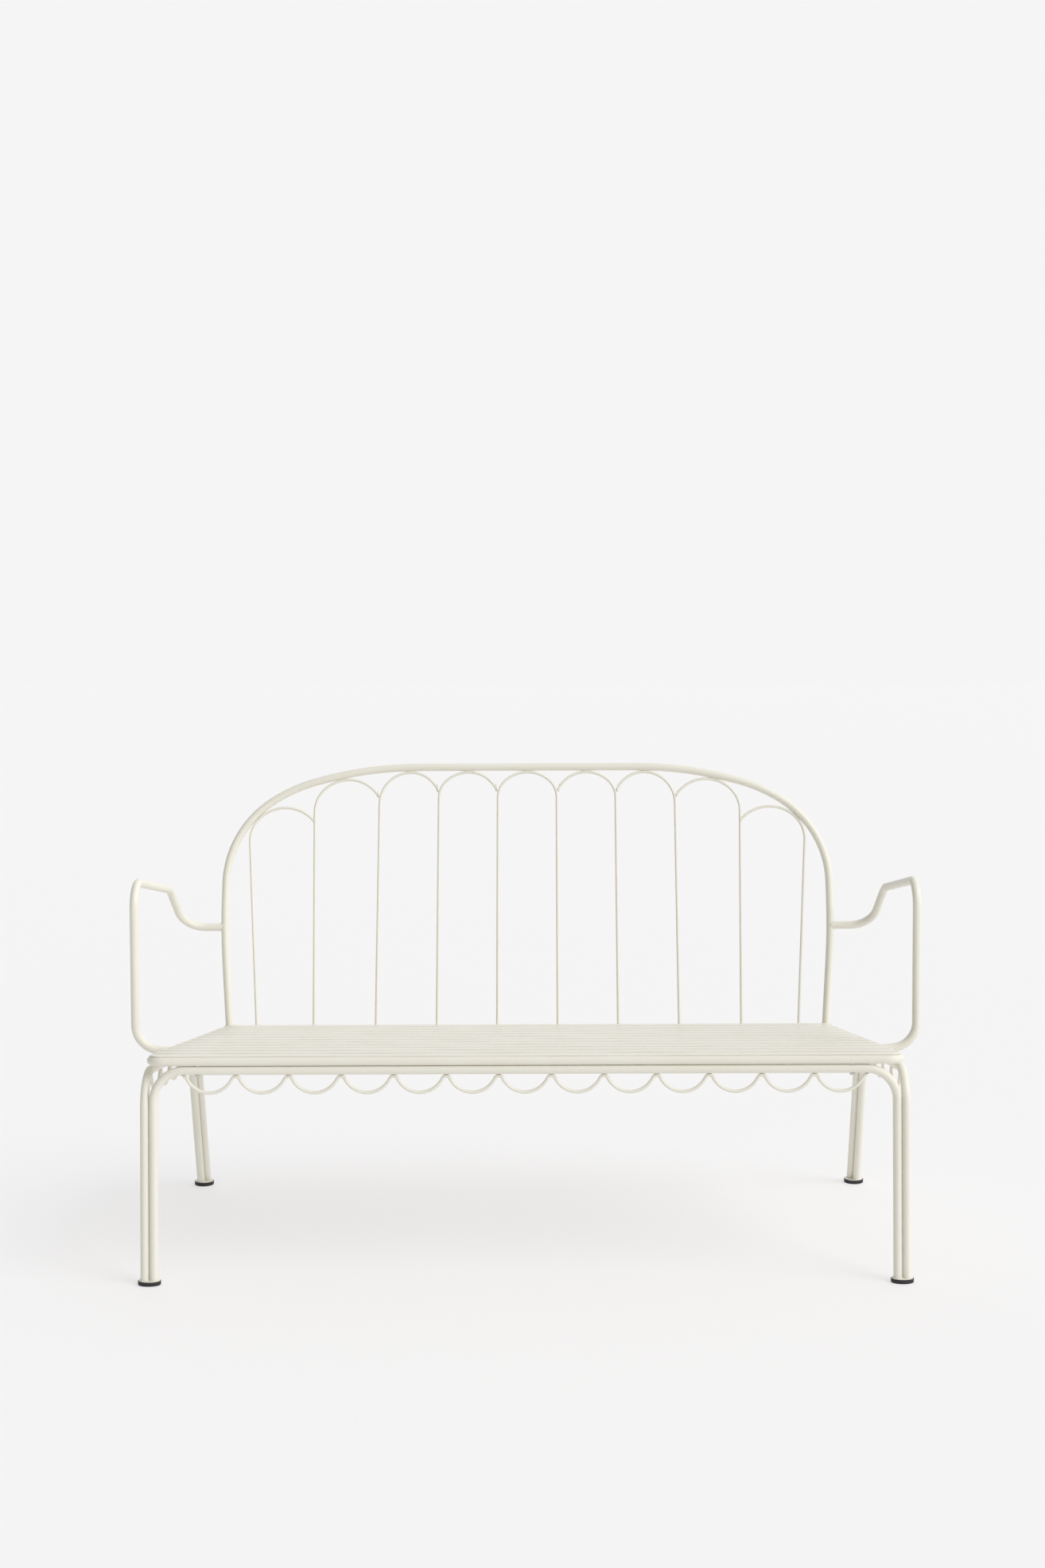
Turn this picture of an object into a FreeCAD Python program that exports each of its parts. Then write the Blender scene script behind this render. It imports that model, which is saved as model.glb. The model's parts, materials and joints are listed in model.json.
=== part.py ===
import FreeCAD, Part
import math
import os

# A two-seat garden bench of bent steel tube, in millimetres.
# X runs along the bench, +Y towards its back, Z up. While the pieces are built, Y is the depth
# behind the front legs; at the end everything is moved so that the origin is the middle of the
# footprint, on the ground.

# Stock
tube_diameter = 15.0
tube_wall = 1.2
skirt_rod_diameter = 6.0
arch_rod_diameter = 5.5
tube_radius = tube_diameter / 2
weld_gap = 0.05

# Feet
glide_height = 7.0
plate_thickness = 3.0
plate_top = 8.0
front_plate_radii = (18.4, 12.0)
rear_plate_radii = (17.6, 16.4)
glide_rim = 1.3
glide_edge_rounding = 1.6

# Base: four bent hoops, whose legs stand in pairs on the feet
hoop_bend_radius = 53.0
front_leg_x = 636.2
side_leg_x = 651.6
rear_leg_x = 641.5
front_rail_height = 365.6
side_rail_front_height = 362.0
side_rail_fall = 7.6
rear_rail_height = 318.1
rear_foot_depth = 613.0
rear_leg_stagger = 12.4

# Scalloped skirt rods
front_scallops = 13
front_scallop_pitch = 90.0
side_scallops = 4
side_scallop_pitch = 97.0
side_scallop_start = 63.0
scallop_drop = 28.0
scallop_peak_radius = 7.0

# Seat
seat_tube_height = 380.8
seat_rear_tube_height = 333.3
seat_rear_depth = 489.0
seat_front_half_width = 647.5
seat_rear_half_width = 576.5
seat_corner_radius = 25.0
rail_end_overhang = 2.0
slat_count = 12
slat_width = 34.0
slat_thickness = 2.0
slat_first_edge = -1.0
slat_last_edge = 485.0
slat_overhang = 2.0
cross_bar_spacing = 306.0
cross_bar_size = (6.0, 12.0)

# The rear legs lean so that their rail comes under the seat's rear tube
rear_leg_reach = rear_foot_depth + rear_leg_stagger / 2 - seat_rear_depth
rear_leg_rake = math.degrees(math.atan2(rear_leg_reach, rear_rail_height - plate_top))

# Fixings between seat and base
bolt_x = 560.0
bolt_diameter = 6.0
bolt_hole_diameter = 6.6
bolt_head_diameter = 10.5
bolt_head_height = 3.3
bolt_socket_width = 4.0
bolt_socket_depth = 2.2
insert_diameter = 9.0

# Back hoop, in a plane that leans back from the seat's rear tube
back_lean = 15.0
back_foot_half_width = 576.5
back_height = 512.0
back_splay = 5.1
back_straight_foot = 130.0
back_side_radius = 1390.0
back_shoulder_bends = ((193.0, 57.0), (315.0, 17.0), (742.0, 16.0))

# Arch rods from the middle outwards: foot, leg top (x, height), crown (x, height), landing (x, drop)
middle_arch = (58.5, (58.5, 451.0), (0.0, 501.5))
side_arches = (
    (175.5, (175.5, 451.0), (117.0, 501.5), (60.5, 37.0)),
    (293.5, (293.5, 439.0), (232.0, 501.3), (177.5, 38.0)),
    (413.6, (422.0, 423.0), (355.0, 487.0), (295.5, 34.0)),
    (524.0, (548.5, 363.5), (481.0, 431.4), (421.5, 28.5)),
)
shoulder_share = 50.0

# Arms: bend points from the back hoop to the seat's side tube, as (x, height) for the elbow
# and (x, depth, height) for the others, with their bend radii
arm_height_on_hoop = 523.5
arm_elbow = (672.0, 523.5)
arm_rest_rear = (690.4, 480.0, 605.5)
arm_rest_front = (694.2, 132.0, 670.4)
arm_post_foot = (693.5, 145.0, 374.0)
arm_bend_radii = (50.0, 40.0, 40.0, 45.0)


def vector(x, y, z):
    return FreeCAD.Vector(x, y, z)


def direction(angle):
    return math.cos(math.radians(angle)), math.sin(math.radians(angle))


class BendLine:
    """A centreline drawn in a plane from straight runs and tangent arcs."""

    def __init__(self, origin, across, up, start, heading):
        self.origin = origin
        self.across = across
        self.up = up
        self.here = start
        self.heading = heading
        self.edges = []

    def point(self, u, v):
        return self.origin + self.across * u + self.up * v

    def run(self, length):
        du, dv = direction(self.heading)
        u, v = self.here
        self.here = (u + length * du, v + length * dv)
        self.edges.append(Part.LineSegment(self.point(u, v), self.point(*self.here)).toShape())

    def bend(self, radius, angle):
        """Turns left for a positive angle, right for a negative one."""
        side = math.copysign(1.0, angle)
        u, v = self.here
        nu, nv = direction(self.heading + 90.0 * side)
        centre = (u + radius * nu, v + radius * nv)

        def on_arc(turned):
            cu, cv = direction(self.heading - 90.0 * side + turned)
            return centre[0] + radius * cu, centre[1] + radius * cv

        middle = on_arc(angle / 2)
        end = on_arc(angle)
        arc = Part.Arc(self.point(u, v), self.point(*middle), self.point(*end))
        self.edges.append(arc.toShape())
        self.here = end
        self.heading += angle

    def wire(self):
        return Part.Wire(self.edges)


def bent_line(corners, radii):
    """Straight runs between corner points, rounded at each inner corner."""
    edges = []
    start = corners[0]
    for before, corner, after, radius in zip(corners, corners[1:], corners[2:], radii):
        arriving = (corner - before).normalize()
        leaving = (after - corner).normalize()
        turn = arriving.getAngle(leaving)
        setback = radius * math.tan(turn / 2)
        arc_start = corner - arriving * setback
        arc_end = corner + leaving * setback
        inward = (leaving - arriving).normalize()
        arc_middle = corner + inward * (radius / math.cos(turn / 2) - radius)
        edges.append(Part.LineSegment(start, arc_start).toShape())
        edges.append(Part.Arc(arc_start, arc_middle, arc_end).toShape())
        start = arc_end
    edges.append(Part.LineSegment(start, corners[-1]).toShape())
    return Part.Wire(edges)


def swept_round(wire, diameter):
    edge = wire.Edges[0]
    start = edge.valueAt(edge.FirstParameter)
    heading = edge.tangentAt(edge.FirstParameter)
    section = Part.Wire(Part.makeCircle(diameter / 2, start, heading))
    return wire.makePipeShell([section], True, False)


def bent_tube(wire):
    bore = swept_round(wire, tube_diameter - 2 * tube_wall)
    return swept_round(wire, tube_diameter).cut(bore)


def cope_tool(wire):
    """The outside of a tube that others are welded against."""
    return swept_round(wire, tube_diameter + 2 * weld_gap)


def biggest_solid(shape):
    return max(shape.Solids, key=lambda solid: solid.Volume)


def cut_level(shape, height):
    below = Part.makeBox(2000, 2000, 200, vector(-1000, -500, height - 200))
    return shape.cut(below)


def mirrored(shape):
    return shape.mirror(vector(0, 0, 0), vector(1, 0, 0))


def joined(shapes):
    return Part.makeCompound(shapes)


# Base hoops

def front_leg_hoop():
    corners = [
        vector(-front_leg_x, 0, plate_top),
        vector(-front_leg_x, 0, front_rail_height),
        vector(front_leg_x, 0, front_rail_height),
        vector(front_leg_x, 0, plate_top),
    ]
    return bent_line(corners, [hoop_bend_radius] * 2)


def rake_shift(height):
    return math.tan(math.radians(rear_leg_rake)) * (height - plate_top)


def side_rear_corner():
    fall = math.tan(math.radians(side_rail_fall))
    rake = math.tan(math.radians(rear_leg_rake))
    leg_at_ground = rear_foot_depth - rear_leg_stagger / 2 + plate_top * rake
    depth = (leg_at_ground - side_rail_front_height * rake) / (1 - fall * rake)
    return depth, side_rail_front_height - depth * fall


def side_leg_hoop():
    depth, height = side_rear_corner()
    below = -20.0
    foot_depth = rear_foot_depth - rear_leg_stagger / 2 - rake_shift(below)
    corners = [
        vector(-side_leg_x, 0, plate_top),
        vector(-side_leg_x, 0, side_rail_front_height),
        vector(-side_leg_x, depth, height),
        vector(-side_leg_x, foot_depth, below),
    ]
    return bent_line(corners, [hoop_bend_radius] * 2)


def rear_leg_depth(height):
    return rear_foot_depth + rear_leg_stagger / 2 - rake_shift(height)


def rear_leg_hoop():
    below = -20.0
    corners = [
        vector(-rear_leg_x, rear_leg_depth(below), below),
        vector(-rear_leg_x, rear_leg_depth(rear_rail_height), rear_rail_height),
        vector(rear_leg_x, rear_leg_depth(rear_rail_height), rear_rail_height),
        vector(rear_leg_x, rear_leg_depth(below), below),
    ]
    return bent_line(corners, [hoop_bend_radius] * 2)


# Skirt rods

def scallop_line(origin, along, up, count, pitch):
    """Round troughs joined by small round peaks; origin is the first peak's centreline."""
    half_turn = math.degrees(2 * math.atan(2 * scallop_drop / pitch))
    radii = pitch / 2 / math.sin(math.radians(half_turn))
    trough_radius = radii - scallop_peak_radius
    line = BendLine(origin, along, up, (0, 0), 0.0)
    line.bend(scallop_peak_radius, -half_turn)
    for trough in range(count):
        line.bend(trough_radius, 2 * half_turn)
        last = trough == count - 1
        line.bend(scallop_peak_radius, -half_turn if last else -2 * half_turn)
    return line.wire()


def skirt_hang():
    return tube_radius + skirt_rod_diameter / 2


def front_scallop_rod():
    start = -front_scallops * front_scallop_pitch / 2
    origin = vector(start, 0, front_rail_height - skirt_hang())
    return scallop_line(origin, vector(1, 0, 0), vector(0, 0, 1), front_scallops, front_scallop_pitch)


def rear_scallop_rod():
    du, dv = direction(rear_leg_rake)
    up = vector(0, -dv, du)
    start = -front_scallops * front_scallop_pitch / 2
    rail = vector(start, rear_leg_depth(rear_rail_height), rear_rail_height)
    origin = rail - up * skirt_hang()
    return scallop_line(origin, vector(1, 0, 0), up, front_scallops, front_scallop_pitch)


def side_scallop_rod():
    du, dv = direction(side_rail_fall)
    along = vector(0, du, -dv)
    up = vector(0, dv, du)
    rail = vector(-side_leg_x, 0, side_rail_front_height) + along * side_scallop_start
    origin = rail - up * skirt_hang()
    return scallop_line(origin, along, up, side_scallops, side_scallop_pitch)


# Feet

def oval_prism(centre, radii, bottom, top):
    outline = Part.Ellipse(vector(centre[0], centre[1], bottom), radii[0], radii[1])
    face = Part.Face(Part.Wire(outline.toShape()))
    return face.extrude(vector(0, 0, top - bottom))


def foot_plate(centre, radii):
    return oval_prism(centre, radii, plate_top - plate_thickness, plate_top)


def foot_glide(centre, radii):
    outer = (radii[0] + glide_rim, radii[1] + glide_rim)
    body = oval_prism(centre, outer, 0, glide_height)
    bottom_edges = [e for e in body.Edges if e.BoundBox.ZMax < 0.01]
    body = body.makeFillet(glide_edge_rounding, bottom_edges)
    return body.cut(foot_plate(centre, radii))


def feet():
    front = ((front_leg_x + side_leg_x) / 2, 0.0)
    rear = ((rear_leg_x + side_leg_x) / 2, rear_foot_depth)
    pieces = {}
    for place, centre, radii in (("front", front, front_plate_radii), ("rear", rear, rear_plate_radii)):
        for side, sign in (("left", -1), ("right", 1)):
            spot = (sign * centre[0], centre[1])
            pieces[f"{place}_{side}_foot_plate"] = foot_plate(spot, radii)
            pieces[f"{place}_{side}_foot_glide"] = foot_glide(spot, radii)
    return pieces


# Seat, in a plane that falls towards the back

seat_slope = math.atan((seat_tube_height - seat_rear_tube_height) / seat_rear_depth)
seat_back = vector(0, math.cos(seat_slope), -math.sin(seat_slope))
seat_up = vector(0, math.sin(seat_slope), math.cos(seat_slope))
seat_origin = vector(0, 0, seat_tube_height)
seat_length = seat_rear_depth / math.cos(seat_slope)


def seat_point(x, back, up=0.0):
    return seat_origin + vector(x, 0, 0) + seat_back * back + seat_up * up


def seat_half_width(back):
    return seat_front_half_width - (seat_front_half_width - seat_rear_half_width) * back / seat_length


def seat_front_frame():
    corners = [
        seat_point(-seat_rear_half_width, seat_length),
        seat_point(-seat_front_half_width, 0),
        seat_point(seat_front_half_width, 0),
        seat_point(seat_rear_half_width, seat_length),
    ]
    return bent_line(corners, [seat_corner_radius] * 2)


def seat_rear_rail():
    end = seat_rear_half_width + tube_radius + rail_end_overhang
    return Part.Wire(Part.LineSegment(seat_point(-end, seat_length), seat_point(end, seat_length)).toShape())


def slat(index):
    pitch = (slat_last_edge - slat_first_edge - slat_width) / (slat_count - 1)
    front = slat_first_edge + index * pitch
    back = front + slat_width
    front_x = seat_half_width(front) + slat_overhang
    back_x = seat_half_width(back) + slat_overhang
    outline = [
        seat_point(-front_x, front, tube_radius),
        seat_point(front_x, front, tube_radius),
        seat_point(back_x, back, tube_radius),
        seat_point(-back_x, back, tube_radius),
    ]
    bar = Part.Face(Part.makePolygon(outline + outline[:1])).extrude(seat_up * slat_thickness)
    if index > 0:
        return bar
    corner_edges = [
        e for e in bar.Edges
        if abs(e.Length - slat_thickness) < 0.01 and e.CenterOfMass.y < 10
    ]
    return bar.makeFillet(seat_corner_radius - 3, corner_edges)


def cross_bar(x):
    width, height = cross_bar_size
    low = tube_radius - height
    outline = [
        seat_point(x - width / 2, 0, low),
        seat_point(x + width / 2, 0, low),
        seat_point(x + width / 2, 0, tube_radius),
        seat_point(x - width / 2, 0, tube_radius),
    ]
    return Part.Face(Part.makePolygon(outline + outline[:1])).extrude(seat_back * seat_length)


def rail_end_plug(side):
    end = side * (seat_rear_half_width + tube_radius + rail_end_overhang)
    stem = Part.makeCylinder(tube_radius - tube_wall, 8, seat_point(end, seat_length), vector(-side, 0, 0))
    cap = Part.makeCylinder(tube_radius, 1.5, seat_point(end, seat_length), vector(side, 0, 0))
    return stem.fuse(cap).removeSplitter()


# Back

back_angle = math.radians(back_lean)
back_up = vector(0, math.sin(back_angle), math.cos(back_angle))
back_origin = vector(0, seat_rear_depth, seat_rear_tube_height)


def back_line(start, heading):
    return BendLine(back_origin, vector(1, 0, 0), back_up, start, heading)


def back_hoop_rise():
    """Height and inward reach of everything except the upright straight of one side."""
    probe = back_line((0, 0), 90.0 - back_splay)
    probe.run(back_straight_foot)
    probe.bend(back_side_radius, back_splay)
    for radius, angle in back_shoulder_bends:
        probe.bend(radius, angle)
    return probe.here


def back_hoop():
    reach, rise = back_hoop_rise()
    upright = back_height - rise
    top_half = back_foot_half_width + reach
    line = back_line((back_foot_half_width, 0), 90.0 - back_splay)
    line.run(back_straight_foot)
    line.bend(back_side_radius, back_splay)
    line.run(upright)
    for radius, angle in back_shoulder_bends:
        line.bend(radius, angle)
    line.run(2 * top_half)
    for radius, angle in reversed(back_shoulder_bends):
        line.bend(radius, angle)
    line.run(upright)
    line.bend(back_side_radius, back_splay)
    line.run(back_straight_foot)
    return line.wire()


def shoulder_radii(width, height, start, middle):
    """Two tangent arcs that carry a rod from heading start, through middle, to level at the crown."""
    cos_start, sin_start = direction(start)
    cos_middle, sin_middle = direction(middle)
    a = sin_start - sin_middle
    b = sin_middle
    c = cos_start - cos_middle
    d = cos_middle + 1
    determinant = a * d - b * c
    return (width * d - b * height) / determinant, (a * height - c * width) / determinant


def arch_line(foot_x, leg_top, crown):
    leg_x, leg_height = leg_top
    lean = math.degrees(math.atan2(leg_x - foot_x, leg_height))
    start = 90.0 - lean
    middle = start + shoulder_share
    first, second = shoulder_radii(leg_x - crown[0], crown[1] - leg_height, start, middle)
    line = back_line((foot_x, 0), start)
    line.run(math.hypot(leg_x - foot_x, leg_height))
    line.bend(first, shoulder_share)
    line.bend(second, 180.0 - middle)
    return line, first, second


def middle_arch_rod():
    foot_x, leg_top, crown = middle_arch
    line, first, second = arch_line(foot_x, leg_top, crown)
    line.bend(second, 90.0 - shoulder_share)
    line.bend(first, shoulder_share)
    line.run(leg_top[1])
    return line.wire()


def side_arch_rod(foot_x, leg_top, crown, landing):
    line = arch_line(foot_x, leg_top, crown)[0]
    land_x, drop = landing
    width = crown[0] - land_x
    turn = 2 * math.atan2(drop, width)
    line.bend(width / math.sin(turn), math.degrees(turn))
    return line.wire()


def back_arches(hoop, rail):
    """Nine rods, numbered from the left; each one's inner end rests on the next rod inwards."""
    line = middle_arch_rod()
    rods = {5: swept_round(line, arch_rod_diameter).cut(rail)}
    for step, shape in enumerate(side_arches, start=1):
        inner = swept_round(line, arch_rod_diameter + 2 * weld_gap)
        line = side_arch_rod(*shape)
        rod = swept_round(line, arch_rod_diameter).cut(rail).cut(inner).cut(hoop)
        rods[5 + step] = biggest_solid(rod)
        rods[5 - step] = mirrored(rods[5 + step])
    return {f"back_arch_{number}": rods[number] for number in sorted(rods)}


# Arms

def arm(hoop, side_frame):
    rise = arm_height_on_hoop - seat_rear_tube_height
    hoop_depth = seat_rear_depth + rise * math.tan(back_angle)
    start_x = back_foot_half_width
    corners = [
        vector(start_x, hoop_depth, arm_height_on_hoop),
        vector(arm_elbow[0], hoop_depth, arm_elbow[1]),
        vector(*arm_rest_rear),
        vector(*arm_rest_front),
        vector(*arm_post_foot),
    ]
    back = arm_post_foot[1] / math.cos(seat_slope)
    weld = seat_point(seat_half_width(back) + 3.0, back)
    wire = bent_line(corners + [weld], arm_bend_radii)
    tube = bent_tube(wire).cut(side_frame).cut(hoop)
    return biggest_solid(tube)


# Fixings

def upright_pin(x, depth, bottom, top, diameter):
    return Part.makeCylinder(diameter / 2, top - bottom, vector(x, depth, bottom))


def hexagon_pin(x, depth, bottom, height, across_flats):
    radius = across_flats / math.sqrt(3)
    corners = []
    for turn in range(0, 420, 60):
        du, dv = direction(turn)
        corners.append(vector(x + radius * du, depth + radius * dv, bottom))
    return Part.Face(Part.makePolygon(corners)).extrude(vector(0, 0, height))


def fixing_spots():
    front = (0.0, front_rail_height, seat_tube_height)
    rear = (seat_rear_depth, rear_rail_height, seat_rear_tube_height)
    for depth, rail_height, seat_height in (front, rear):
        for x in (-bolt_x, bolt_x):
            yield x, depth, rail_height, seat_height


def bolt(x, depth, rail_height, seat_height):
    underside = rail_height - tube_radius
    shank = upright_pin(x, depth, underside - 0.3, seat_height - tube_radius + 8, bolt_diameter)
    head = upright_pin(x, depth, underside - bolt_head_height, underside + 1.0, bolt_head_diameter)
    low_edges = [e for e in head.Edges if e.BoundBox.ZMax < underside - bolt_head_height + 0.01]
    socket = hexagon_pin(x, depth, underside - bolt_head_height, bolt_socket_depth, bolt_socket_width)
    return shank.fuse(head.makeFillet(2.0, low_edges)).cut(socket)


def threaded_insert(x, depth, seat_height):
    bottom = seat_height - tube_radius + 0.2
    sleeve = upright_pin(x, depth, bottom, bottom + 9, insert_diameter)
    bore = upright_pin(x, depth, bottom - 1, bottom + 10, bolt_diameter)
    return sleeve.cut(bore)


def fixings(nodes):
    """Drills the four tube pairs and returns the bolts and inserts that hold them."""
    bolts = []
    inserts = []
    for x, depth, rail_height, seat_height in fixing_spots():
        base = "front_leg_hoop" if depth == 0 else "rear_leg_hoop"
        tube = "seat_front_frame" if depth == 0 else "seat_rear_rail"
        hole = upright_pin(x, depth, rail_height - 20, rail_height + 8, bolt_hole_diameter)
        nodes[base] = nodes[base].cut(hole)
        seat_under = seat_height - tube_radius
        insert_hole = upright_pin(x, depth, seat_under - 3, seat_under + 4, insert_diameter)
        nodes[tube] = nodes[tube].cut(insert_hole)
        inserts.append(threaded_insert(x, depth, seat_height).cut(nodes[tube]))
        bolts.append(bolt(x, depth, rail_height, seat_height).cut(nodes[base]))
    return {"seat_bolts": joined(bolts), "threaded_inserts": joined(inserts)}


def main():
    seat_rear_solid = cope_tool(seat_rear_rail())
    seat_frame_solid = cope_tool(seat_front_frame())
    hoop_solid = cope_tool(back_hoop())

    nodes = {
        "front_leg_hoop": bent_tube(front_leg_hoop()),
        "rear_leg_hoop": cut_level(bent_tube(rear_leg_hoop()), plate_top),
        "left_leg_hoop": cut_level(bent_tube(side_leg_hoop()), plate_top),
        "front_scallop_rod": swept_round(front_scallop_rod(), skirt_rod_diameter),
        "rear_scallop_rod": swept_round(rear_scallop_rod(), skirt_rod_diameter),
        "left_scallop_rod": swept_round(side_scallop_rod(), skirt_rod_diameter),
        "seat_front_frame": bent_tube(seat_front_frame()).cut(seat_rear_solid),
        "seat_rear_rail": bent_tube(seat_rear_rail()),
        "back_hoop": bent_tube(back_hoop()).cut(seat_rear_solid).cut(seat_frame_solid),
        "right_arm": arm(hoop_solid, seat_frame_solid),
    }
    nodes["right_leg_hoop"] = mirrored(nodes["left_leg_hoop"])
    nodes["right_scallop_rod"] = mirrored(nodes["left_scallop_rod"])
    nodes["left_arm"] = mirrored(nodes["right_arm"])
    nodes.update(feet())
    nodes.update(back_arches(hoop_solid, seat_rear_solid))

    for index in range(slat_count):
        nodes[f"slat_{index + 1:02d}"] = slat(index)
    for place, x in (("left", -cross_bar_spacing), ("middle", 0.0), ("right", cross_bar_spacing)):
        bar = cross_bar(x).cut(seat_frame_solid).cut(seat_rear_solid)
        nodes[f"{place}_cross_bar"] = biggest_solid(bar)
    nodes["rail_end_plugs"] = joined([rail_end_plug(-1), rail_end_plug(1)])

    nodes.update(fixings(nodes))

    box = joined(list(nodes.values())).BoundBox
    shift = vector(0, -(box.YMin + box.YMax) / 2, 0)
    print("size", round(box.XLength, 1), round(box.YLength, 1), round(box.ZLength, 1), "shift", shift.y)

    os.makedirs("parts", exist_ok=True)
    for name, shape in nodes.items():
        placed = shape.translated(shift)
        print(name, len(placed.Solids), round(placed.Volume / 1000, 2), placed.isValid())
        placed.exportStep(f"parts/{name}.step")


main()
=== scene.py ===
import json
import math
import bpy
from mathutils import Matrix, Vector


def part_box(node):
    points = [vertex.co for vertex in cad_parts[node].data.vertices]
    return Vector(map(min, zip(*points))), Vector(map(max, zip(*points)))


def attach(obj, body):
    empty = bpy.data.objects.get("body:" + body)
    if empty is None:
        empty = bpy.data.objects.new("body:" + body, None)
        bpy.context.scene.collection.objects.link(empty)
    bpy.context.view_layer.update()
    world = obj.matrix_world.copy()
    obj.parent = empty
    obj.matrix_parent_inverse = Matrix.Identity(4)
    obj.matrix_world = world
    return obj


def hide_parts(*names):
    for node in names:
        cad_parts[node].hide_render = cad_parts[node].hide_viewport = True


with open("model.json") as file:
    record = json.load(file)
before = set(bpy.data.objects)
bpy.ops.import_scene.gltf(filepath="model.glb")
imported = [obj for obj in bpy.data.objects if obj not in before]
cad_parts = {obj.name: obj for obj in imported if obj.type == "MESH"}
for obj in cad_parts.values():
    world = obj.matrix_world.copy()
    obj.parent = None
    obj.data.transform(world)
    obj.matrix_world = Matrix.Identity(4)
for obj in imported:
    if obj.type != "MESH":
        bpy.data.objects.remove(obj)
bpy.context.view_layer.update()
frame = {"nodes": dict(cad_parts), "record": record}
nodes = frame["nodes"]


# small helpers used by every piece

def dropSelection():
    bpy.ops.object.select_all(action="DESELECT")


def makeActive(piece):
    dropSelection()
    piece.select_set(True)
    bpy.context.view_layer.objects.active = piece


def applyAll(piece):
    makeActive(piece)
    for modifier in list(piece.modifiers):
        bpy.ops.object.modifier_apply(modifier=modifier.name)


def joinPieces(pieces, name):
    makeActive(pieces[0])
    for piece in pieces:
        piece.select_set(True)
    if len(pieces) > 1:
        bpy.ops.object.join()
    pieces[0].name = name
    pieces[0].data.name = name
    return pieces[0]


def finishPiece(piece, material):
    piece.data.materials.clear()
    piece.data.materials.append(material)
    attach(piece, "root")
    return piece


class Wire:
    def __init__(self, tree, socket=None):
        self.tree = tree
        self.socket = socket

    def add(self, nodeType, settings=None, values=None, output=0):
        node = self.tree.nodes.new(nodeType)
        for key, value in (settings or {}).items():
            if key == "stops":
                ramp = node.color_ramp.elements
                while len(ramp) < len(value):
                    ramp.new(0.5)
                for element, (place, colour) in zip(ramp, value):
                    element.position = place
                    element.color = colour
            else:
                setattr(node, key, value)
        for key, value in (values or {}).items():
            if isinstance(value, Wire):
                self.tree.links.new(value.socket, node.inputs[key])
            else:
                node.inputs[key].default_value = value
        return Wire(self.tree, node.outputs[output])

    def sum(self, operation, first, second):
        return self.add("ShaderNodeMath", {"operation": operation}, {0: first, 1: second})

    def __add__(self, other):
        return self.sum("ADD", self, other)

    __radd__ = __add__

    def __sub__(self, other):
        return self.sum("SUBTRACT", self, other)

    def __rsub__(self, other):
        return self.sum("SUBTRACT", other, self)

    def __mul__(self, other):
        return self.sum("MULTIPLY", self, other)

    __rmul__ = __mul__


def newMaterial(name):
    material = bpy.data.materials.new(name)
    material.use_nodes = True
    tree = material.node_tree
    tree.nodes.clear()
    out = tree.nodes.new("ShaderNodeOutputMaterial")
    shader = tree.nodes.new("ShaderNodeBsdfPrincipled")
    tree.links.new(shader.outputs[0], out.inputs[0])
    return material, shader, Wire(tree)


def noiseOn(start, place, size, detail, output=0):
    # size is the grain in metres
    values = {"Vector": place, "Scale": 1 / size, "Detail": detail, "Roughness": 0.55}
    return start.add("ShaderNodeTexNoise", {}, values, output)


def between(start, factor, first, second):
    return start.add("ShaderNodeMix", {"data_type": "RGBA"}, {0: factor, 6: first, 7: second}, 2)


def spread(start, value, low, high, newLow, newHigh):
    values = {0: value, 1: low, 2: high, 3: newLow, 4: newHigh}
    return start.add("ShaderNodeMapRange", {}, values)


powder = {
    "cream": (0.80, 0.78, 0.69, 1),
    "warmCream": (0.79, 0.765, 0.67, 1),
    "dust": (0.70, 0.68, 0.61, 1),
    "peelSize": 0.0016,
    "grainSize": 0.00035,
    "blotchSize": 0.09,
    "roughness": (0.36, 0.50),
    "bumpHeight": 0.00006,
}


def powderCoat(name, cream, warmCream):
    material, shader, start = newMaterial(name)
    place = start.add("ShaderNodeTexCoord", {}, {}, "Object")
    blotch = noiseOn(start, place, powder["blotchSize"], 3)
    speck = noiseOn(start, place, 0.004, 4)
    peel = noiseOn(start, place, powder["peelSize"], 2)
    grain = noiseOn(start, place, powder["grainSize"], 2)
    tone = between(start, spread(start, blotch, 0.35, 0.65, 0, 1), cream, warmCream)
    specks = spread(start, speck, 0.66, 0.78, 0, 0.06)
    coat = between(start, specks, tone, powder["dust"])
    rough = spread(start, blotch * 0.6 + grain * 0.4, 0.35, 0.65, *powder["roughness"])
    height = peel * 0.8 + grain * 0.2
    values = {"Strength": 0.55, "Distance": powder["bumpHeight"], "Height": height}
    normal = start.add("ShaderNodeBump", {}, values)
    links = start.tree.links
    links.new(coat.socket, shader.inputs["Base Color"])
    links.new(rough.socket, shader.inputs["Roughness"])
    links.new(normal.socket, shader.inputs["Normal"])
    shader.inputs["Coat Weight"].default_value = 0.12
    shader.inputs["Coat Roughness"].default_value = 0.28
    return material


def mouldedPlastic(name, light, dark, grainSize):
    material, shader, start = newMaterial(name)
    place = start.add("ShaderNodeTexCoord", {}, {}, "Object")
    cloud = noiseOn(start, place, 0.012, 3)
    grain = noiseOn(start, place, grainSize, 2)
    scuff = noiseOn(start, place, 0.003, 5)
    tone = between(start, spread(start, cloud, 0.4, 0.6, 0, 1), dark, light)
    rough = spread(start, scuff, 0.35, 0.65, 0.42, 0.66)
    normal = start.add("ShaderNodeBump", {}, {"Strength": 0.5, "Distance": 0.00008, "Height": grain})
    links = start.tree.links
    links.new(tone.socket, shader.inputs["Base Color"])
    links.new(rough.socket, shader.inputs["Roughness"])
    links.new(normal.socket, shader.inputs["Normal"])
    return material


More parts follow.
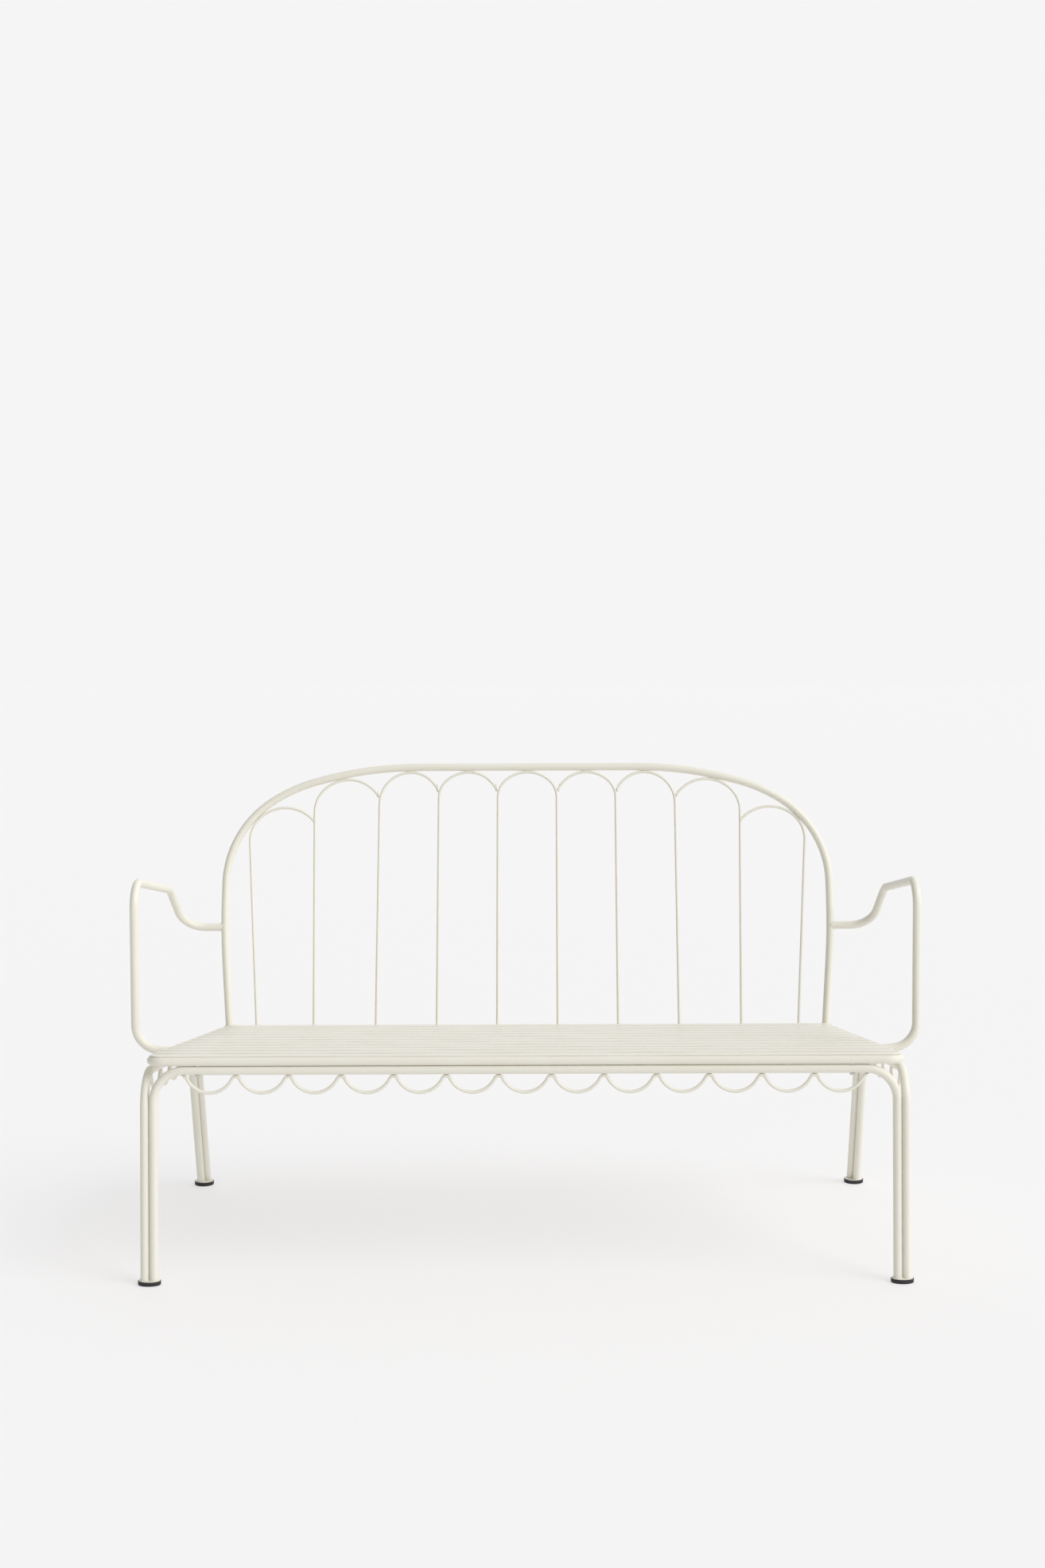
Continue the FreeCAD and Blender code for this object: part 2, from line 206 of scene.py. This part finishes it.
def zincPlate(name):
    material, shader, start = newMaterial(name)
    place = start.add("ShaderNodeTexCoord", {}, {}, "Object")
    spangle = start.add("ShaderNodeTexVoronoi", {}, {"Vector": place, "Scale": 500}, "Color")
    fine = noiseOn(start, place, 0.0006, 3)
    tone = between(start, fine, (0.56, 0.55, 0.51, 1), (0.68, 0.67, 0.63, 1))
    rough = spread(start, spangle, 0, 1, 0.26, 0.42)
    links = start.tree.links
    links.new(tone.socket, shader.inputs["Base Color"])
    links.new(rough.socket, shader.inputs["Roughness"])
    shader.inputs["Metallic"].default_value = 1.0
    return material


powderMaterial = powderCoat("creamPowderCoat", powder["cream"], powder["warmCream"])
weldMaterial = powderCoat("creamOverWeld", powder["cream"], powder["dust"])
# darker cream painted on the slats' front faces as the shade in the gaps between slats
slatGapShadeMaterial = powderCoat("creamPaintedGapShade", (0.71, 0.685, 0.59, 1), (0.65, 0.63, 0.54, 1))
# dark cream painted on the skirt beads as the shade in the gap under each rail
peakShadeMaterial = powderCoat("creamPaintedPeakShade", (0.46, 0.44, 0.37, 1), (0.38, 0.36, 0.30, 1))
glideMaterial = mouldedPlastic("blackGlide", (0.022, 0.02, 0.022, 1), (0.012, 0.011, 0.013, 1), 0.0005)
plugMaterial = mouldedPlastic("creamPlug", (0.78, 0.75, 0.66, 1), (0.74, 0.71, 0.62, 1), 0.0006)
zincMaterial = zincPlate("zincSteel")
slotMaterials = {
    "cream_powder_coat": powderMaterial,
    "black_glide": glideMaterial,
    "cream_plastic": plugMaterial,
    "zinc_steel": zincMaterial,
}
for entry in frame["record"]["subparts"]:
    node = nodes[entry["node"]]
    node.data.materials.clear()
    node.data.materials.append(slotMaterials[entry["material_slot"]])
print("materials done")


# where the tubes and rods run, in metres, from the boxes of the nodes

tube = {"radius": 0.0075, "cane": 0.00275}
seatPlan = {
    "depth": 0.489, "fall": 0.0475, "rearHalf": 0.5765, "frontHalf": 0.6475,
    "slats": 12, "slatWidth": 0.034, "firstEdge": -0.001, "lastEdge": 0.485,
}
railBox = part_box("seat_rear_rail")
frontY = sum(corner.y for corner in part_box("front_leg_hoop")) / 2
railCentre = Vector((0, (railBox[0].y + railBox[1].y) / 2, (railBox[0].z + railBox[1].z) / 2))
seatCentre = railCentre + Vector((0, -seatPlan["depth"], seatPlan["fall"]))
seatBack = (railCentre - seatCentre).normalized()
seatUp = Vector((0, -seatBack.z, seatBack.y))
seatLength = (railCentre - seatCentre).length
backLean = math.radians(15)
backUp = Vector((0, math.sin(backLean), math.cos(backLean)))
acrossX = Vector((1, 0, 0))


def seatSpot(x, back, up=0.0):
    return seatCentre + acrossX * x + seatBack * back + seatUp * up


def seatHalf(back):
    return seatPlan["frontHalf"] - (seatPlan["frontHalf"] - seatPlan["rearHalf"]) * back / seatLength


def backSpot(x, rise):
    return railCentre + acrossX * x + backUp * rise


def backWay(degrees):
    turn = math.radians(degrees)
    return acrossX * math.cos(turn) + backUp * math.sin(turn)


def mirrorX(point):
    return Vector((-point.x, point.y, point.z))


weld = {
    "seam": 0.0013, "fineSeam": 0.0008, "ripple": 0.00035, "rippleSize": 0.0025,
    "turns": 28, "crown": 0.45,
}


def seamFromLoop(loop, thickness, closed=True):
    # a bead that follows a loop of points round a joint
    line = bpy.data.curves.new("seam", "CURVE")
    line.dimensions = "3D"
    line.bevel_depth = thickness
    line.bevel_resolution = 2
    path = line.splines.new("POLY")
    path.points.add(len(loop) - 1)
    for point, place in zip(path.points, loop):
        point.co = (place.x, place.y, place.z, 1)
    path.use_cyclic_u = closed
    line.use_fill_caps = True
    seam = bpy.data.objects.new("seam", line)
    bpy.context.collection.objects.link(seam)
    makeActive(seam)
    bpy.ops.object.convert(target="MESH")
    return bpy.context.view_layer.objects.active


def copeLoop(at, along, radius, runAxis, runRadius):
    # where a round tube that leaves "at" along "along" meets the outside of the tube it stands on
    side = along.cross(runAxis).normalized()
    ahead = side.cross(along).normalized()
    across = runAxis.cross(side).normalized()
    if across.dot(along) < 0:
        across = -across
    loop = []
    for step in range(weld["turns"]):
        turn = 2 * math.pi * step / weld["turns"]
        sideways = radius * math.sin(turn)
        forward = radius * math.cos(turn)
        reach = math.sqrt(max(runRadius ** 2 - sideways ** 2, 0.0))
        lift = (reach - forward * ahead.dot(across)) / along.dot(across)
        loop.append(at + side * sideways + ahead * forward + along * lift)
    return loop


def levelLoop(at, along, radius):
    # where a tube stands on a level plate
    side = along.cross(acrossX).normalized()
    ahead = side.cross(along).normalized()
    loop = []
    for step in range(weld["turns"]):
        turn = 2 * math.pi * step / weld["turns"]
        point = at + side * radius * math.sin(turn) + ahead * radius * math.cos(turn)
        loop.append(point - along * ((point.z - at.z) / along.z))
    return loop


def spotBead(place, along, up, length, width, height):
    # a short run of weld: a ball drawn out, with its crown pressed flatter and its ends pinched
    dropSelection()
    bpy.ops.mesh.primitive_uv_sphere_add(segments=14, ring_count=8, radius=1)
    bead = bpy.context.active_object
    bpy.ops.object.mode_set(mode="EDIT")
    bpy.ops.mesh.select_all(action="DESELECT")
    bpy.ops.object.mode_set(mode="OBJECT")
    for vertex in bead.data.vertices:
        vertex.select = vertex.co.z > weld["crown"]
    bpy.ops.object.mode_set(mode="EDIT")
    bpy.ops.transform.resize(value=(1.15, 1.15, 0.85))
    bpy.ops.object.mode_set(mode="OBJECT")
    side = up.cross(along).normalized()
    for vertex in bead.data.vertices:
        local = vertex.co.copy()
        vertex.co = place + along * local.x * length / 2 + side * local.y * width / 2 + up * local.z * height
    return bead


def finishWelds(parts, name, material=weldMaterial):
    bead = joinPieces(parts, name)
    grit = bpy.data.textures.new(name + "Grit", "CLOUDS")
    grit.noise_scale = weld["rippleSize"]
    ripple = bead.modifiers.new("ripple", "DISPLACE")
    ripple.texture = grit
    ripple.texture_coords = "LOCAL"
    ripple.strength = weld["ripple"]
    applyAll(bead)
    makeActive(bead)
    bpy.ops.object.mode_set(mode="EDIT")
    bpy.ops.mesh.select_all(action="SELECT")
    bpy.ops.mesh.normals_make_consistent(inside=False)
    bpy.ops.object.mode_set(mode="OBJECT")
    bpy.ops.object.shade_smooth()
    return finishPiece(bead, material)


skirt = {
    "frontPeaks": 14, "sidePeaks": 5, "frontPitch": 0.090, "sidePitch": 0.097,
    "sideStart": 0.063, "sideHeight": 0.362, "sideFall": 7.6, "stagger": 0.0062,
    "bead": (0.008, 0.0050, 0.0019),
}


def makeSkirtWelds():
    # one bead at each peak of the scalloped rods, under its rail, coloured dark as painted shade of the gap
    # between peak and rail
    parts = []
    reach = skirt["frontPitch"] * (skirt["frontPeaks"] - 1) / 2
    drop = tube["radius"] + 0.0002
    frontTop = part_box("front_leg_hoop")[1].z - tube["radius"]
    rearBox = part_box("rear_leg_hoop")
    rearRail = Vector((0, rearBox[0].y + tube["radius"], rearBox[1].z - tube["radius"]))
    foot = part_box("rear_left_foot_plate")
    rake = math.atan2((foot[0].y + foot[1].y) / 2 + skirt["stagger"] - rearRail.y, rearRail.z - foot[1].z)
    rearUp = Vector((0, -math.sin(rake), math.cos(rake)))
    for peak in range(skirt["frontPeaks"]):
        x = peak * skirt["frontPitch"] - reach
        frontSpot = Vector((x, frontY, frontTop - drop))
        parts.append(spotBead(frontSpot, acrossX, Vector((0, 0, 1)), *skirt["bead"]))
        parts.append(spotBead(rearRail + acrossX * x - rearUp * drop, acrossX, rearUp, *skirt["bead"]))
    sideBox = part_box("right_leg_hoop")
    fall = math.radians(skirt["sideFall"])
    sideWay = Vector((0, math.cos(fall), -math.sin(fall)))
    sideUp = Vector((0, math.sin(fall), math.cos(fall)))
    sideX = (sideBox[0].x + sideBox[1].x) / 2
    start = Vector((sideX, frontY, skirt["sideHeight"])) + sideWay * skirt["sideStart"]
    for peak in range(skirt["sidePeaks"]):
        spot = start + sideWay * peak * skirt["sidePitch"] - sideUp * drop
        parts.append(spotBead(spot, sideWay, sideUp, *skirt["bead"]))
        parts.append(spotBead(mirrorX(spot), sideWay, sideUp, *skirt["bead"]))
    return finishWelds(parts, "skirtWelds", peakShadeMaterial)


legs = {"plateTop": 0.008, "frontX": 0.6362, "sideX": 0.6516, "rearX": 0.6415, "stagger": 0.0062}


def makePlateWelds():
    # a bead round the foot of every leg
    parts = []
    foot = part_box("rear_left_foot_plate")
    rearY = (foot[0].y + foot[1].y) / 2
    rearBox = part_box("rear_leg_hoop")
    reach = rearY + legs["stagger"] - rearBox[0].y - tube["radius"]
    rise = rearBox[1].z - tube["radius"] - legs["plateTop"]
    raked = Vector((0, -reach, rise)).normalized()
    upright = Vector((0, 0, 1))
    stands = (
        (legs["frontX"], frontY, upright),
        (legs["sideX"], frontY, upright),
        (legs["rearX"], rearY + legs["stagger"], raked),
        (legs["sideX"], rearY - legs["stagger"], raked),
    )
    for x, y, along in stands:
        for side in (-1, 1):
            at = Vector((side * x, y, legs["plateTop"] + 0.0004))
            parts.append(seamFromLoop(levelLoop(at, along, tube["radius"] + 0.0002), weld["seam"]))
    return finishWelds(parts, "plateWelds")


# foot x, top of the straight leg (x, rise), landing on the next cane (x, rise), turn at the landing
canes = (
    (0.0585, (0.0585, 0.451), None, None),
    (0.1755, (0.1755, 0.451), (0.0605, 0.4645), 66.4),
    (0.2935, (0.2935, 0.439), (0.1775, 0.4633), 69.8),
    (0.4136, (0.422, 0.423), (0.2955, 0.453), 59.5),
    (0.524, (0.5485, 0.3635), (0.4215, 0.4029), 51.2),
)
# where each cane touches the hoop: (x, rise), heading of the hoop there
caneTouches = (
    ((0.0, 0.5044), 180.0),
    ((0.117, 0.5044), 180.0),
    ((0.2334, 0.5041), 178.0),
    ((0.3704, 0.4883), 168.0),
    ((0.5312, 0.4104), 134.0),
)


caneBead = (0.016, 0.0056, 0.0016)  # length, width, height


def makeCaneWelds():
    parts = []
    for number, (footX, legTop, landing, turn) in enumerate(canes):
        rise = Vector((legTop[0] - footX, legTop[1]))
        lean = math.degrees(math.atan2(rise.y, rise.x))
        foot = copeLoop(backSpot(footX, 0), backWay(lean), tube["cane"] + 0.0001, acrossX, tube["radius"])
        parts.append(seamFromLoop(foot, weld["fineSeam"]))
        parts.append(seamFromLoop([mirrorX(p) for p in foot], weld["fineSeam"]))
        (x, up), heading = caneTouches[number]
        inward = backWay(heading + 90)
        touch = backSpot(x, up)
        for side in ((1, -1) if number else (1,)):
            spot = touch if side > 0 else mirrorX(touch)
            way = backWay(heading) if side > 0 else mirrorX(backWay(heading))
            facing = -inward if side > 0 else -mirrorX(inward)
            parts.append(spotBead(spot, way, facing, *caneBead))
        if landing:
            nextFoot, nextTop = canes[number - 1][0], canes[number - 1][1]
            slope = math.degrees(math.atan2(nextTop[1], nextTop[0] - nextFoot))
            loop = copeLoop(backSpot(*landing), backWay(turn), tube["cane"], backWay(slope), tube["cane"])
            parts.append(seamFromLoop(loop, weld["fineSeam"]))
            parts.append(seamFromLoop([mirrorX(p) for p in loop], weld["fineSeam"]))
    return finishWelds(parts, "caneWelds")


joints = {
    "armOnHoop": (0.5924, 0.1969), "hoopHeading": 87.7, "hoopFoot": 84.9,
    "armBack": 0.1457, "armWeldOut": 0.003, "armPost": (0.6935, 0.145, 0.374),
}


def makeFrameWelds():
    parts = []
    hoopSpot = backSpot(*joints["armOnHoop"])
    hoopWay = backWay(joints["hoopHeading"])
    loops = [copeLoop(hoopSpot, acrossX, tube["radius"], hoopWay, tube["radius"])]
    half = seatHalf(joints["armBack"])
    sideTube = (seatSpot(seatPlan["rearHalf"], seatLength) - seatSpot(seatPlan["frontHalf"], 0)).normalized()
    armEnd = seatSpot(half, joints["armBack"])
    post = Vector(joints["armPost"]) + Vector((0, frontY, 0))
    armWay = (post - seatSpot(half + joints["armWeldOut"], joints["armBack"])).normalized()
    loops.append(copeLoop(armEnd, armWay, tube["radius"], sideTube, tube["radius"]))
    corner = seatSpot(seatPlan["rearHalf"], seatLength)
    loops.append(copeLoop(corner, backWay(joints["hoopFoot"]), tube["radius"], acrossX, tube["radius"]))
    loops.append(copeLoop(corner, -sideTube, tube["radius"], acrossX, tube["radius"]))
    for loop in loops:
        parts.append(seamFromLoop(loop, weld["seam"]))
        parts.append(seamFromLoop([mirrorX(p) for p in loop], weld["seam"]))
    return finishWelds(parts, "frameWelds")


slatBead = (0.022, 0.004, 0.0014)  # length, width, height


def makeSlatWelds():
    # short beads under both ends of every slat, along the side tubes
    parts = []
    pitch = (seatPlan["lastEdge"] - seatPlan["firstEdge"] - seatPlan["slatWidth"]) / (seatPlan["slats"] - 1)
    for index in range(1, seatPlan["slats"]):
        back = seatPlan["firstEdge"] + index * pitch + seatPlan["slatWidth"] / 2
        spot = seatSpot(seatHalf(back) + 0.0024, back, tube["radius"] - 0.0002)
        along = (seatSpot(seatHalf(back + 0.01), back + 0.01) - seatSpot(seatHalf(back), back)).normalized()
        parts.append(spotBead(spot, along, seatUp, *slatBead))
        parts.append(spotBead(mirrorX(spot), mirrorX(along), seatUp, *slatBead))
    return finishWelds(parts, "slatWelds")


makeSkirtWelds()
makePlateWelds()
makeCaneWelds()
makeFrameWelds()
makeSlatWelds()
print("welds done")


# seat slats with rolled edges and a slight waviness between the bars

slatLook = {"edge": 0.0007, "stations": 24, "wave": 0.0003, "waveSize": 0.22}


def makeSlat(index):
    cadName = f"slat_{index + 1:02d}"
    low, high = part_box(cadName)
    slat = bpy.data.objects.new(f"seatSlat{index + 1:02d}", nodes[cadName].data.copy())
    bpy.context.collection.objects.link(slat)
    makeActive(slat)
    bpy.ops.object.mode_set(mode="EDIT")
    bpy.ops.mesh.select_all(action="SELECT")
    bpy.ops.mesh.remove_doubles(threshold=0.00001)
    bpy.ops.mesh.customdata_custom_splitnormals_clear()
    bpy.ops.mesh.dissolve_limited(angle_limit=math.radians(1))
    bpy.ops.object.mode_set(mode="OBJECT")
    roll = slat.modifiers.new("roll", "BEVEL")
    roll.width = slatLook["edge"]
    roll.segments = 2
    roll.limit_method = "ANGLE"
    roll.angle_limit = math.radians(40)
    applyAll(slat)
    bpy.ops.object.mode_set(mode="EDIT")
    for station in range(1, slatLook["stations"]):
        x = low.x + (high.x - low.x) * station / slatLook["stations"]
        bpy.ops.mesh.select_all(action="SELECT")
        bpy.ops.mesh.bisect(plane_co=(x, 0, 0), plane_no=(1, 0, 0))
    bpy.ops.object.mode_set(mode="OBJECT")
    for vertex in slat.data.vertices:
        midway = math.sin(math.pi * (vertex.co.x - low.x) / (high.x - low.x))
        sway = math.sin(vertex.co.x / slatLook["waveSize"] * 6 + index * 1.9)
        vertex.co.z += slatLook["wave"] * 0.5 * (sway - 1) * midway
    bpy.ops.object.shade_smooth_by_angle(angle=math.radians(35))
    finishPiece(slat, powderMaterial)
    # second slot: painted gap shade on the front faces of every slat but the first
    slat.data.materials.append(slatGapShadeMaterial)
    for face in slat.data.polygons:
        face.material_index = 1 if index and face.normal.y < -0.7 else 0  # painted shade: the slats' front faces darkened where the gaps between slats fall dark
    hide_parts(cadName)


for index in range(seatPlan["slats"]):
    makeSlat(index)
print("slats done")


studio = {
    "floorTone": (0.40, 0.397, 0.397, 1),
    "floorLift": (0.512, 0.508, 0.509, 1),
    "floorSize": 40.0,
    "worldTone": (0.915, 0.915, 0.915, 1),
    "leftShade": 0.18,
    "frontShare": 0.30,
    "rightGlow": 1.15,
    "sunPower": 1.15,
    "sunPlace": (3.0, -2.0, 3.0),
    "sunSoftness": 35,
}


def makeFloor():
    dropSelection()
    bpy.ops.mesh.primitive_grid_add(x_subdivisions=4, y_subdivisions=4, size=studio["floorSize"])
    floor = bpy.context.active_object
    floor.name = "studioFloor"
    material, shader, start = newMaterial("paleFloor")
    place = start.add("ShaderNodeTexCoord", {}, {}, "Object")
    drift = noiseOn(start, place, 1.5, 2)
    tone = between(start, drift, studio["floorTone"], (0.405, 0.40, 0.40, 1))
    start.tree.links.new(tone.socket, shader.inputs["Base Color"])
    shader.inputs["Emission Color"].default_value = studio["floorLift"]
    shader.inputs["Emission Strength"].default_value = 1.0
    shader.inputs["Roughness"].default_value = 0.9
    shader.inputs["Specular IOR Level"].default_value = 0.1
    floor.data.materials.append(material)


def makeLights():
    dropSelection()
    bpy.ops.object.light_add(type="SUN", location=studio["sunPlace"])
    sun = bpy.context.active_object
    sun.name = "softKey"
    sun.data.energy = studio["sunPower"]
    sun.data.angle = math.radians(studio["sunSoftness"])
    sun.rotation_euler = (-Vector(studio["sunPlace"])).to_track_quat("-Z", "Y").to_euler()
    world = bpy.data.worlds.new("paleStudio")
    world.use_nodes = True
    start = Wire(world.node_tree)
    place = start.add("ShaderNodeTexCoord", {}, {}, "Generated")
    across = start.add("ShaderNodeSeparateXYZ", {}, {0: place}, 0)
    away = start.add("ShaderNodeSeparateXYZ", {}, {0: place}, 1)
    openSide = across + away * studio["frontShare"]  # low to the left and behind the camera
    left = start.add("ShaderNodeMapRange", {}, {0: openSide, 1: -0.9, 2: 0.0, 3: studio["leftShade"], 4: 1})
    right = start.add("ShaderNodeMapRange", {}, {0: across, 1: 0.3, 2: 0.9, 3: 0, 4: studio["rightGlow"] - 1})
    background = world.node_tree.nodes["Background"]
    background.inputs[0].default_value = studio["worldTone"]
    glow = left + right
    seen = start.add("ShaderNodeLightPath")
    strength = glow + seen * (1 - glow)  # the backdrop itself stays even on every side
    world.node_tree.links.new(strength.socket, background.inputs[1])
    bpy.context.scene.world = world
    bpy.context.scene.view_settings.view_transform = "Standard"


lensView = {
    "place": (0.041, -4.034, 1.213),
    "roll": 0.2,
    "lens": 50.0,
    "shiftX": -0.0159,
    "shiftY": -0.134,
}


def makeCamera():
    dropSelection()
    turn = (math.radians(90), math.radians(lensView["roll"]), 0)
    bpy.ops.object.camera_add(location=lensView["place"], rotation=turn)
    camera = bpy.context.active_object
    camera.name = "frontCamera"
    camera.data.lens = lensView["lens"]
    camera.data.sensor_width = 36.0
    camera.data.shift_x = lensView["shiftX"]
    camera.data.shift_y = lensView["shiftY"]
    camera.data.clip_end = 60.0
    bpy.context.scene.camera = camera


makeFloor()
makeLights()
makeCamera()
print("studio done")
